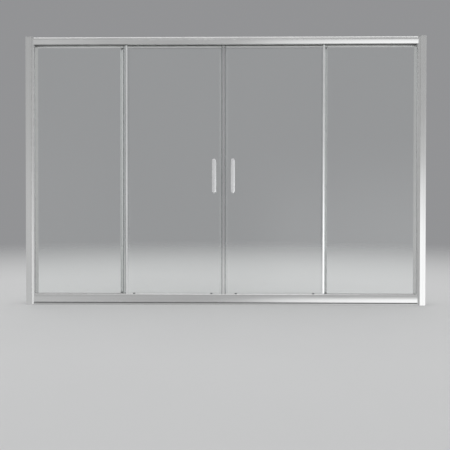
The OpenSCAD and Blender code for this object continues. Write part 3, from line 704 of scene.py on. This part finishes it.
def extrusion_tree():
    """Rounds a section's corners, fills it and runs it along X from Start over Length."""
    tree = Tree("Extruded Rail", {"Start": "Float", "Length": "Float", "Edge Radius": "Float",
                                  "Edge Steps": "Int", "Material": "Material"})
    sharpness = tree.add("GeometryNodeInputRadius")
    radius = tree.add("ShaderNodeMath", {0: sharpness, 1: tree.ask("Edge Radius")},
                      operation="MULTIPLY")
    section = tree.add("GeometryNodeFilletCurve", {
        "Curve": tree.ask("Geometry"), "Radius": radius, "Limit Radius": True,
        "Count": tree.ask("Edge Steps"),
    }, mode="POLY")
    cap = tree.add("GeometryNodeFillCurve", {"Curve": section}, mode="TRIANGLES")
    run = tree.add("ShaderNodeCombineXYZ", {"Z": tree.ask("Length")})
    walls = tree.add("GeometryNodeExtrudeMesh", {"Mesh": cap, "Offset": run, "Individual": False},
                     mode="FACES")
    near_cap = tree.add("GeometryNodeFlipFaces", {"Mesh": cap})
    solid = tree.add("GeometryNodeJoinGeometry")
    for part in (walls, near_cap):
        tree.group.links.new(part, solid.node.inputs[0])
    whole = tree.add("GeometryNodeMergeByDistance", {"Geometry": solid, "Distance": WELD})
    spot = tree.add("ShaderNodeSeparateXYZ", {0: tree.add("GeometryNodeInputPosition")})
    along = tree.add("ShaderNodeMath", {0: spot.node.outputs["Z"], 1: tree.ask("Start")},
                     operation="ADD")
    place = tree.add("ShaderNodeCombineXYZ", {
        "X": along, "Y": spot.node.outputs["X"], "Z": spot.node.outputs["Y"],
    })
    laid = tree.add("GeometryNodeSetPosition", {"Geometry": whole, "Position": place})
    tree.finish(laid)
    return tree


def spring_tree():
    """Winds round wire into a coil of the given size about its own axis."""
    tree = Tree("Coil Spring", {"Coil Radius": "Float", "Height": "Float", "Turns": "Float",
                                "Wire Radius": "Float", "Place": "Vector", "Material": "Material"})
    coil = tree.add("GeometryNodeCurveSpiral", {
        "Resolution": 32, "Rotations": tree.ask("Turns"), "Start Radius": tree.ask("Coil Radius"),
        "End Radius": tree.ask("Coil Radius"), "Height": tree.ask("Height"),
    })
    wire = tree.add("GeometryNodeCurvePrimitiveCircle", {
        "Resolution": 10, "Radius": tree.ask("Wire Radius"),
    }, mode="RADIUS")
    wound = tree.add("GeometryNodeCurveToMesh", {
        "Curve": coil, "Profile Curve": wire, "Fill Caps": True,
    })
    smooth = tree.add("GeometryNodeSetShadeSmooth", {"Geometry": wound, "Shade Smooth": True})
    laid = tree.add("GeometryNodeTransform", {
        "Geometry": smooth, "Translation": tree.ask("Place"),
    })
    tree.finish(laid)
    return tree


def coil_spring(sizes, node, material):
    """Plain mesh of a return spring that fills its node's box."""
    low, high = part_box(node)
    wire = sizes.spring_wire
    return grown(linked("coil", bpy.data.meshes.new("coil")), spring_tree(), {
        "Coil Radius": (high.x - low.x) / 2 - wire, "Height": high.z - low.z - 2.1 * wire,
        "Turns": sizes.spring_turns, "Wire Radius": wire,
        "Place": (mid(node).x, mid(node).y, low.z + 1.05 * wire), "Material": material,
    })


def scatter_tree():
    """Puts a fitting at each point, turned by chance about the Y axis up to Most Turn."""
    tree = Tree("Fitting Scatter", {"Fitting": "Object", "Most Turn": "Float", "Seed": "Int",
                                    "Material": "Material"})
    fitting = tree.add("GeometryNodeObjectInfo", {"Object": tree.ask("Fitting")}, "Geometry")
    turn = tree.add("FunctionNodeRandomValue", {
        3: tree.ask("Most Turn"), "Seed": tree.ask("Seed"),
    }, 1, data_type="FLOAT")
    rotation = tree.add("ShaderNodeCombineXYZ", {"Y": turn})
    points = tree.add("GeometryNodeMeshToPoints", {"Mesh": tree.ask("Geometry")})
    laid = tree.add("GeometryNodeInstanceOnPoints", {
        "Points": points, "Instance": fitting, "Rotation": rotation,
    })
    tree.finish(laid)
    return tree


def scattered(fitting_mesh, places, material, most_turn, seed):
    """Plain mesh of one fitting repeated at every place."""
    fitting = linked("fitting", fitting_mesh)
    spots = bpy.data.meshes.new("spots")
    spots.from_pydata([tuple(place) for place in places], [], [])
    mesh = grown(linked("spots", spots), scatter_tree(), {
        "Fitting": fitting, "Most Turn": most_turn, "Seed": seed, "Material": material,
    })
    bpy.data.objects.remove(fitting)
    smooth_over(mesh)
    return mesh


def solid_boxes(node):
    """(low, high) of the box round each separate solid of a node."""
    bm = merged(node)
    boxes, seen = [], set()
    for first in bm.verts:
        if first in seen:
            continue
        island = [first]
        seen.add(first)
        for vert in island:  # it grows by the neighbours of each of its points
            near = {edge.other_vert(vert) for edge in vert.link_edges} - seen
            seen |= near
            island += near
        boxes.append([Vector(bound(vert.co[axis] for vert in island) for axis in range(3))
                      for bound in (min, max)])
    bm.free()
    return boxes


def seats(boxes, depth=0.0):
    """Where a fitting's seat lies in each box: mid front, and depth behind it."""
    return [Vector(((low.x + high.x) / 2, low.y + depth, (low.z + high.z) / 2))
            for low, high in boxes]


def lofted(bm, rings):
    """Joins each ring of points to the next one; a ring of one point is a pole."""
    count = max(len(ring) for ring in rings)
    for near, far in zip(rings, rings[1:]):
        for k in range(count):
            after = (k + 1) % count
            corners = [near[k % len(near)], near[after % len(near)],
                       far[after % len(far)], far[k % len(far)]]
            distinct = list(dict.fromkeys(corners))
            if len(distinct) > 2:
                bm.faces.new(distinct)
    for end in (rings[0], rings[-1]):
        if len(end) > 1:
            bm.faces.new(end)


def circle(bm, radius, y, steps, z=0.0):
    """A ring of points about the Y axis, raised by z; at no radius, its middle alone."""
    if radius == 0:
        return [bm.verts.new((0, y, z))]
    turns = [math.tau * k / steps for k in range(steps)]
    return [bm.verts.new((radius * math.cos(a), y, z + radius * math.sin(a))) for a in turns]


def quarter(steps):
    """(1 - cos, 1 - sin) at even steps over a quarter turn, to round an edge."""
    angles = [math.pi / 2 * k / steps for k in range(steps + 1)]
    return [(1 - math.cos(angle), 1 - math.sin(angle)) for angle in angles]


def finished(name, bm):
    """The mesh of closed shapes, their faces turned outwards."""
    bmesh.ops.recalc_face_normals(bm, faces=bm.faces)
    return mesh_from(name, bm)


def pan_screw(sizes, length):
    """A pan-head screw along +Y, its head's seat at y = 0, its face sunk into a cross recess."""
    head, shank, tall = sizes.screw_head, sizes.screw_shank, sizes.head_height
    profile = [
        (0, -tall), (head * 0.2, -tall), (head * 0.42, -tall * 0.99), (head * 0.66, -tall * 0.92),
        (head * 0.86, -tall * 0.74), (head * 0.97, -tall * 0.45), (head, -tall * 0.2), (head, 0),
        (shank, 0), (shank, length - shank), (shank * 0.6, length - shank * 0.3), (0, length),
    ]
    bm = bmesh.new()
    lofted(bm, [circle(bm, radius, y, 24) for radius, y in profile])
    for vert in bm.verts:
        reach = math.hypot(vert.co.x, vert.co.z)
        if vert.co.y > -tall * 0.95 or reach > head * 0.5:
            continue
        in_cross = abs(math.cos(2 * math.atan2(vert.co.z, vert.co.x))) > 0.86
        if reach < head * 0.05:
            vert.co.y += sizes.recess_depth
        elif reach < head * 0.3:
            vert.co.y += sizes.recess_depth * (0.8 if in_cross else 0.25)
        elif in_cross:
            vert.co.y += sizes.recess_depth * 0.35
    return finished("pan_screw", bm)


def snap_cover(radius, height, edge, hollow_radius, hollow_height):
    """A screw cover on the +Y side of y = 0 with a rounded rim and its hollow."""
    arc = [(radius - edge * (1 - math.cos(a)), height - edge * (1 - math.sin(a)))
           for a in (math.radians(d) for d in (0, 22, 45, 67, 90))]
    dimple = radius * 0.45
    profile = [(0, hollow_height), (hollow_radius, hollow_height), (hollow_radius, 0), (radius, 0)]
    profile += arc
    profile += [(dimple, height), (dimple * 0.8, height - edge * 0.2), (0, height - edge * 0.25)]
    bm = bmesh.new()
    lofted(bm, [circle(bm, ring, y, 48) for ring, y in profile])
    return finished("snap_cover", bm)


def bar_handle(sizes, glass_gap, reach):
    """A handle on the -Y side of y = 0: a crowned bar with round ends on two posts."""
    bm = bmesh.new()
    half_w = sizes.width / 2
    straight = (sizes.length - sizes.width) / 2
    back = -(reach - sizes.thickness)
    arc_steps = 20

    def ring(inset, y):
        """One outline of the bar, drawn in by inset, at depth y."""
        verts = []
        for end, first in ((1, 0.0), (-1, math.pi)):
            for k in range(arc_steps + 1):
                angle = first + math.pi * k / arc_steps
                verts.append(bm.verts.new((
                    (half_w - inset) * math.cos(angle), y,
                    end * straight + (half_w - inset) * math.sin(angle),
                )))
        return verts

    edge = sizes.edge
    soft_back = edge * 0.45
    levels = [(half_w * 0.62, back), (soft_back, back)]
    levels += [(soft_back * inset, back - soft_back * rise) for rise, inset in quarter(5)[1:]]
    front = -(reach - sizes.crown)
    levels += [(edge * rise, front + edge * inset) for rise, inset in quarter(5)]
    for inset, rise in ((0.55, 0.45), (0.75, 0.8), (0.93, 1.0)):
        levels.append((half_w * inset, front - sizes.crown * rise))
    lofted(bm, [ring(inset, y) for inset, y in levels])
    for direction in (-1, 1):
        post(bm, sizes, direction * sizes.post_pitch / 2, back, glass_gap)
    return finished("bar_handle", bm)


def post(bm, sizes, z, back, glass_gap):
    """One post from inside the bar's back to the washer on the glass."""
    radius, flare = sizes.post_radius, sizes.post_fillet
    sunk = back - sizes.thickness * 0.3
    chamfer = 0.4 * MM
    profile = [(radius + flare, sunk), (radius + flare, back + 0.05 * MM)]
    for rise, inset in quarter(5)[1:]:
        profile.append((radius + flare * inset, back + flare * rise))
    profile += [(radius, -glass_gap - chamfer), (radius - chamfer, -glass_gap)]
    lofted(bm, [circle(bm, ring, y, 40, z) for ring, y in profile])


# Operators: one for each piece or group of like pieces, and one for the stage


class SCREEN_OT_rails(bpy.types.Operator):
    """Run the two rails along their length from their sections, with rounded corners"""

    bl_idname = "bath_screen.rails"
    bl_label = "Rails"

    def execute(self, context):
        fittings, colour = context.scene.screen_fittings, colours()
        tree = extrusion_tree()
        for node in ("top_rail", "bottom_rail"):
            low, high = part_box(node)
            outlines = end_section(node, "x")
            metal = extruded_metal(
                f"{node}_aluminium", colour.aluminium, colour.aluminium_roughness, "x",
                outer_edges(outlines, "x"), front_groove(outlines), self.channel(node),
            )
            section = curve_from(f"{node}_section", outlines)
            mesh = grown(section, tree, {
                "Start": low.x, "Length": high.x - low.x, "Edge Radius": fittings.rail_edge,
                "Edge Steps": fittings.rail_edge_steps, "Material": metal,
            })
            smooth_over(mesh, 40)
            put(f"{node}_extrusion", mesh, metal, node)
        return {"FINISHED"}

    def channel(self, node):
        """(near, far, top) of the inside of the top rail, where its wheels run, which is painted
        lighter as painted light.
        """
        if node != "top_rail":
            return None
        wall, roof = 1.6 * MM, 1.0 * MM
        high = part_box(node)[1]
        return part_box("glass_gasket_left")[1].y - 0.5 * MM, high.y - wall, high.z - roof


class SCREEN_OT_posts(bpy.types.Operator):
    """Finish the wall profiles, side profiles, post caps and corner fixings"""

    bl_idname = "bath_screen.posts"
    bl_label = "Posts"

    def execute(self, context):
        fittings, colour = context.scene.screen_fittings, colours()
        for node in both("wall_profile", "side_profile"):
            # painted shade: the side profiles take a darker copy of the aluminium that tones down
            # their bright reflection; the wall profiles take a slightly lighter copy
            tone, blur = (1.02, 0.0) if node.startswith("wall") else (0.96, 0.08)
            metal = extruded_metal(f"{node}_aluminium", shade(colour.aluminium, tone),
                                   colour.aluminium_roughness + blur, "z",
                                   outer_edges(end_section(node, "z"), "z"))
            softened(f"{node}_soft", node, fittings.rail_edge, metal)
        plastic = moulded("cap_plastic", colour.cap, 0.38)
        softened("post_caps_soft", "post_caps", fittings.moulding_edge, plastic, 3)
        steel = plated_metal("corner_steel", colour.steel, 0.28)
        paint(steel, "corner_screws", "clamp_screws")
        return {"FINISHED"}


class SCREEN_OT_covers(bpy.types.Operator):
    """Snap a cover over each clamp screw on the back of the posts"""

    bl_idname = "bath_screen.covers"
    bl_label = "Screw covers"

    def execute(self, context):
        fittings, colour = context.scene.screen_fittings, colours()
        plastic = moulded("cover_plastic", shade(colour.cap, 1.1), 0.34)
        boxes = solid_boxes("screw_covers")
        low, high = boxes[0]
        cover = snap_cover((high.x - low.x) / 2, high.y - low.y, fittings.cover_edge,
                           fittings.screw_head + 0.2 * MM, fittings.head_height + 0.2 * MM)
        mesh = scattered(cover, seats(boxes), plastic, 0.0, fittings.turn_seed)
        put("screw_cover_set", mesh, plastic, "screw_covers")
        return {"FINISHED"}


class SCREEN_OT_glazing(bpy.types.Operator):
    """Finish the four glass panels and the gaskets of the fixed ones"""

    bl_idname = "bath_screen.glazing"
    bl_label = "Glass"

    def execute(self, context):
        for node in both("fixed_glass", "door_glass"):
            paint(glass(f"{node}_clear", node), node)
        paint(gasket("gasket_rubber"), *both("glass_gasket"))
        return {"FINISHED"}


class SCREEN_OT_seals(bpy.types.Operator):
    """Finish the clear seals, magnet strips and rubber bumpers"""

    bl_idname = "bath_screen.seals"
    bl_label = "Seals"

    def execute(self, context):
        for stem, pane, body in (("fixed_edge_seal", "fixed_glass", colours().fin_body),
                                 ("door_edge_seal", "door_glass", colours().fin_body),
                                 ("magnet_seal", "door_glass", colours().magnet_cover)):
            for side in SIDES:
                node, panel = f"{stem}_{side}", f"{pane}_{side}"
                lifted_off(f"{node}_strip", node, panel, clear_seal(f"{node}_clear", panel, body))
        paint(moulded("magnet_rubber", colours().magnet, 0.55), *both("magnet_strip"))
        paint(moulded("bumper_rubber", colours().bumper, 0.7), "door_bumpers")
        return {"FINISHED"}


class SCREEN_OT_handles(bpy.types.Operator):
    """Model the four bar handles and finish their studs and washers"""

    bl_idname = "bath_screen.handles"
    bl_label = "Handles"

    def execute(self, context):
        sizes, colour = context.scene.screen_handles, colours()
        chrome = plated_metal("handle_chrome", colour.chrome, 0.24)
        glass_low, glass_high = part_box("door_glass_left")
        washer = 1.0 * MM
        for side in SIDES:
            for face, seat in (("outer", glass_low.y), ("inner", glass_high.y)):
                node = f"{face}_handle_{side}"
                low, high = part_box(node)
                outside = face == "outer"
                mesh = bar_handle(sizes, washer, seat - low.y if outside else high.y - seat)
                place = Matrix.Translation((mid(node).x, seat, mid(node).z))
                mesh.transform(place @ Matrix.Diagonal((1, 1 if outside else -1, 1, 1)))
                if not outside:
                    mesh.flip_normals()
                smooth_over(mesh, 50)
                put(f"{node}_bar", mesh, chrome, node)
        paint(plated_metal("stud_steel", colour.steel, 0.28), *both("handle_studs"))
        paint(moulded("washer_nylon", colour.nylon, 0.4), *both("handle_washers"))
        return {"FINISHED"}


class SCREEN_OT_rollers(bpy.types.Operator):
    """Finish the wheels, bearings, bushes, spacers and axle screws"""

    bl_idname = "bath_screen.rollers"
    bl_label = "Rollers"

    def execute(self, context):
        colour = colours()
        paint(moulded("wheel_nylon", colour.nylon, 0.36), *every_end("wheel"))
        paint(moulded("spacer_nylon", shade(colour.nylon, 0.95), 0.4), *both("roller_spacers"))
        paint(plated_metal("bearing_steel", colour.steel, 0.2), *every_end("bearing"))
        paint(plated_metal("axle_steel", shade(colour.steel, 1.1), 0.24), *both("axle_screws"))
        paint(plated_metal("bush_chrome", colour.chrome, 0.14), *both("roller_bushes"))
        return {"FINISHED"}


class SCREEN_OT_guides(bpy.types.Operator):
    """Finish the lower guides and put in their cross-head screws"""

    bl_idname = "bath_screen.guides"
    bl_label = "Lower guides"

    def execute(self, context):
        fittings, colour = context.scene.screen_fittings, colours()
        pale = moulded("guide_nylon", shade(colour.nylon, 0.92), 0.42)
        dark = moulded("slider_plastic", colour.slider, 0.42)
        steel = plated_metal("screw_steel", colour.steel, 0.24)
        for node in both("guide_housings"):
            softened(f"{node}_soft", node, fittings.moulding_edge, pale)
        for node in every_end("guide_slider"):
            softened(f"{node}_soft", node, fittings.moulding_edge / 2, dark)
        wire = plated_metal("spring_steel", shade(colour.steel, 0.9), 0.3)
        for node in every_end("guide_spring"):
            spring = put(f"{node}_coil", coil_spring(fittings, node, wire), wire, node)
            low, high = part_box(node)
            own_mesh(spring)
        for node in both("guide_screws"):
            boxes = solid_boxes(node)
            low, high = boxes[0]
            screw = pan_screw(fittings, high.y - low.y - fittings.head_height)
            mesh = scattered(screw, seats(boxes, fittings.head_height), steel, math.tau,
                             fittings.turn_seed)
            put(f"{node}_cross_head", mesh, steel, node)
        return {"FINISHED"}


class SCREEN_OT_stage(bpy.types.Operator):
    """Set up the floor, the soft lights, the surround and the camera"""

    bl_idname = "bath_screen.stage"
    bl_label = "Studio"

    def execute(self, context):
        studio = context.scene.screen_studio
        self.floor(studio)
        context.scene.world = self.surround(studio)
        self.ceiling(studio)
        context.scene.camera = self.camera(studio)
        context.scene.view_settings.view_transform = "Standard"
        return {"FINISHED"}

    def floor(self, studio):
        bm = bmesh.new()
        bmesh.ops.create_circle(bm, cap_ends=True, segments=96, radius=studio.floor_radius)
        floor = linked("floor", mesh_from("floor", bm))
        floor.data.materials.append(matt_floor("floor_paint", studio.floor, studio.floor_radius))
        floor.visible_glossy = False

    def surround(self, studio):
        """An even surround, seen darker behind the screen; mirrors find both its sides brighter."""
        world = bpy.data.worlds.new("studio")
        finish = Finish(world)
        toward = finish.add("ShaderNodeTexCoord").output("Generated")
        split = finish.add("ShaderNodeSeparateXYZ", {0: toward})
        turn = split.math("ARCTAN2", split, split.output("Y") * -1.0)
        rise = split.math("ARCSINE", split.output("Z"))

        def slope(value, start, end):
            return finish.spread(value, math.radians(start), math.radians(end), smooth=True)

        window = slope(turn, 0, 9) * 0.7 + slope(turn, 8, 22) * 0.3
        window = window * slope(turn, 80, 55) * slope(rise, 10.5, -2) * studio.window_strength
        fill = slope(turn, -8, -24) * slope(turn, -90, -60) * slope(rise, 14, 3)
        path = finish.add("ShaderNodeLightPath")
        through = path.output("Is Transmission Ray")
        mirrored = path.output("Is Glossy Ray") * (1.0 - through)
        strength = (window + fill * studio.fill_strength) * mirrored + 1.0
        seen = path.most(through)
        behind = finish.spread(split.output("Y"), -0.35, 0.6, smooth=True) * seen
        finish.done(finish.add("ShaderNodeBackground", {
            "Color": finish.blend(behind, studio.surround, studio.backdrop), "Strength": strength,
        }), "ShaderNodeOutputWorld")
        return world

    def ceiling(self, studio):
        light = bpy.data.lights.new("ceiling_light", "AREA")
        light.shape = "RECTANGLE"
        light.size, light.size_y = 5.2, 2.4
        light.energy = studio.ceiling_power
        lamp = linked("ceiling_light", light)
        lamp.location = (0, 0, studio.ceiling_height)
        lamp.visible_camera = False

    def camera(self, studio):
        data = bpy.data.cameras.new("camera")
        data.sensor_width = 36.0
        data.lens = data.sensor_width * studio.focal_ratio
        data.clip_start, data.clip_end = 0.01, 100.0
        camera = linked("camera", data)
        camera.location = studio.camera_place
        pitch, roll, yaw = studio.camera_turn
        camera.rotation_euler = Euler((math.pi / 2 + pitch, roll, yaw), "XYZ")
        return camera


OPERATORS = (
    SCREEN_OT_rails, SCREEN_OT_posts, SCREEN_OT_covers, SCREEN_OT_glazing, SCREEN_OT_seals,
    SCREEN_OT_handles, SCREEN_OT_rollers, SCREEN_OT_guides, SCREEN_OT_stage,
)


class SCREEN_PT_panel(bpy.types.Panel):
    """Buttons for the screen's pieces, with their sizes and colours"""

    bl_idname = "SCREEN_PT_panel"
    bl_label = "Bath Screen"
    bl_space_type = "VIEW_3D"
    bl_region_type = "UI"
    bl_category = "Bath Screen"

    def draw(self, context):
        for operator in OPERATORS:
            self.layout.operator(operator.bl_idname)
        for group in GROUPS:
            settings = getattr(context.scene, group)
            box = self.layout.box()
            for name in settings.bl_rna.properties.keys():
                if name not in ("rna_type", "name"):
                    box.prop(settings, name)


GROUPS = {
    "screen_finish": FinishColours, "screen_handles": HandleSizes, "screen_fittings": FittingSizes,
    "screen_studio": StudioSettings,
}
CLASSES = (*GROUPS.values(), *OPERATORS, SCREEN_PT_panel)


def register():
    for kind in CLASSES:
        bpy.utils.register_class(kind)
    for name, group in GROUPS.items():
        setattr(bpy.types.Scene, name, PointerProperty(type=group))


def unregister():
    for name in GROUPS:
        delattr(bpy.types.Scene, name)
    for kind in reversed(CLASSES):
        bpy.utils.unregister_class(kind)


def main():
    register()
    bpy.ops.bath_screen.rails()
    bpy.ops.bath_screen.posts()
    bpy.ops.bath_screen.covers()
    bpy.ops.bath_screen.glazing()
    bpy.ops.bath_screen.seals()
    bpy.ops.bath_screen.handles()
    bpy.ops.bath_screen.rollers()
    bpy.ops.bath_screen.guides()
    bpy.ops.bath_screen.stage()


if __name__ == "__main__":
    main()
